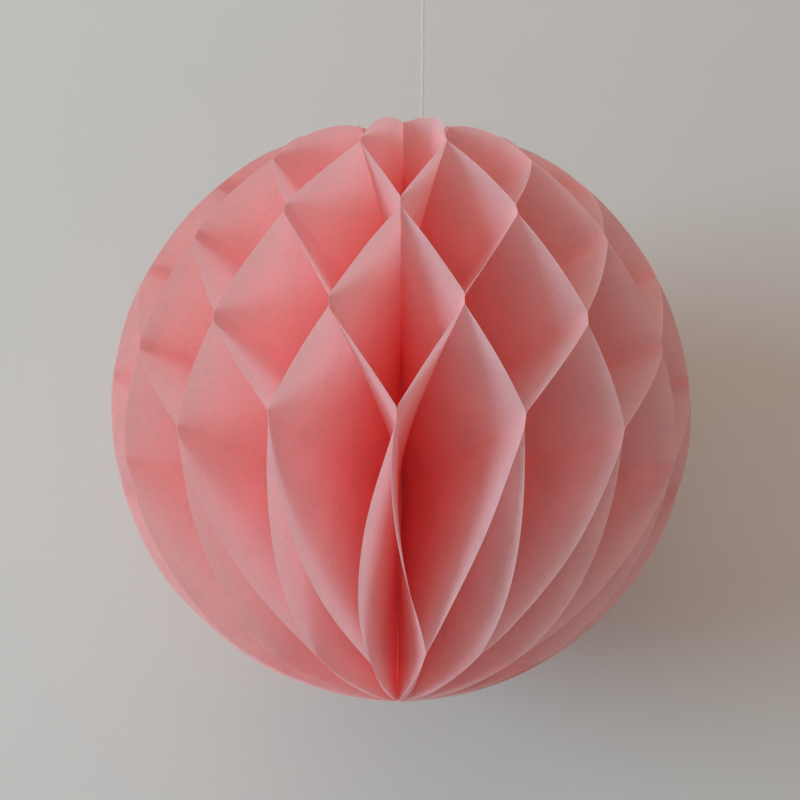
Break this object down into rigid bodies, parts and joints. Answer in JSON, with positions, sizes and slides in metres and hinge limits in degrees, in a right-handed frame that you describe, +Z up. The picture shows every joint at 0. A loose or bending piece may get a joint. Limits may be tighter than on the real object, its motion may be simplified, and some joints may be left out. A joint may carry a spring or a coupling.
{
  "type": "honeycomb paper ball",
  "caption": "Round hanging decoration of half-disc tissue sheets bound on a spine and glued to their neighbours by turns, so that they open into a honeycomb of cells.",
  "frame": {"origin": "centre of the ball, on the spine's axis midway between the poles", "axes": "+Z up along the spine, towards the hanging loop; -Y is the front, where a column of glued joints faces the viewer; +X is the viewer's right"},
  "size_m": [0.1992, 0.1989, 0.3024],
  "materials": {
    "tissue": "matt salmon-pink tissue, cloudy and thin enough to glow where light comes through",
    "binding": "matt glued paper edges",
    "thread": "matt cream cotton thread"
  },
  "bodies": {
    "root": {"sheet_01": "tissue", "sheet_02": "tissue", "sheet_03": "tissue", "sheet_04": "tissue", "sheet_05": "tissue", "sheet_06": "tissue", "sheet_07": "tissue", "sheet_08": "tissue", "sheet_09": "tissue", "sheet_10": "tissue", "sheet_11": "tissue", "sheet_12": "tissue", "sheet_13": "tissue", "sheet_14": "tissue", "sheet_15": "tissue", "sheet_16": "tissue", "sheet_17": "tissue", "sheet_18": "tissue", "sheet_19": "tissue", "sheet_20": "tissue", "sheet_21": "tissue", "sheet_22": "tissue", "sheet_23": "tissue", "sheet_24": "tissue", "sheet_25": "tissue", "sheet_26": "tissue", "sheet_27": "tissue", "sheet_28": "tissue", "sheet_29": "tissue", "sheet_30": "tissue", "sheet_31": "tissue", "sheet_32": "tissue", "sheet_33": "tissue", "sheet_34": "tissue", "spine": "binding", "hang_thread": "thread", "loop_knot": "thread", "hang_loop": "thread"}
  },
  "joints": []
}
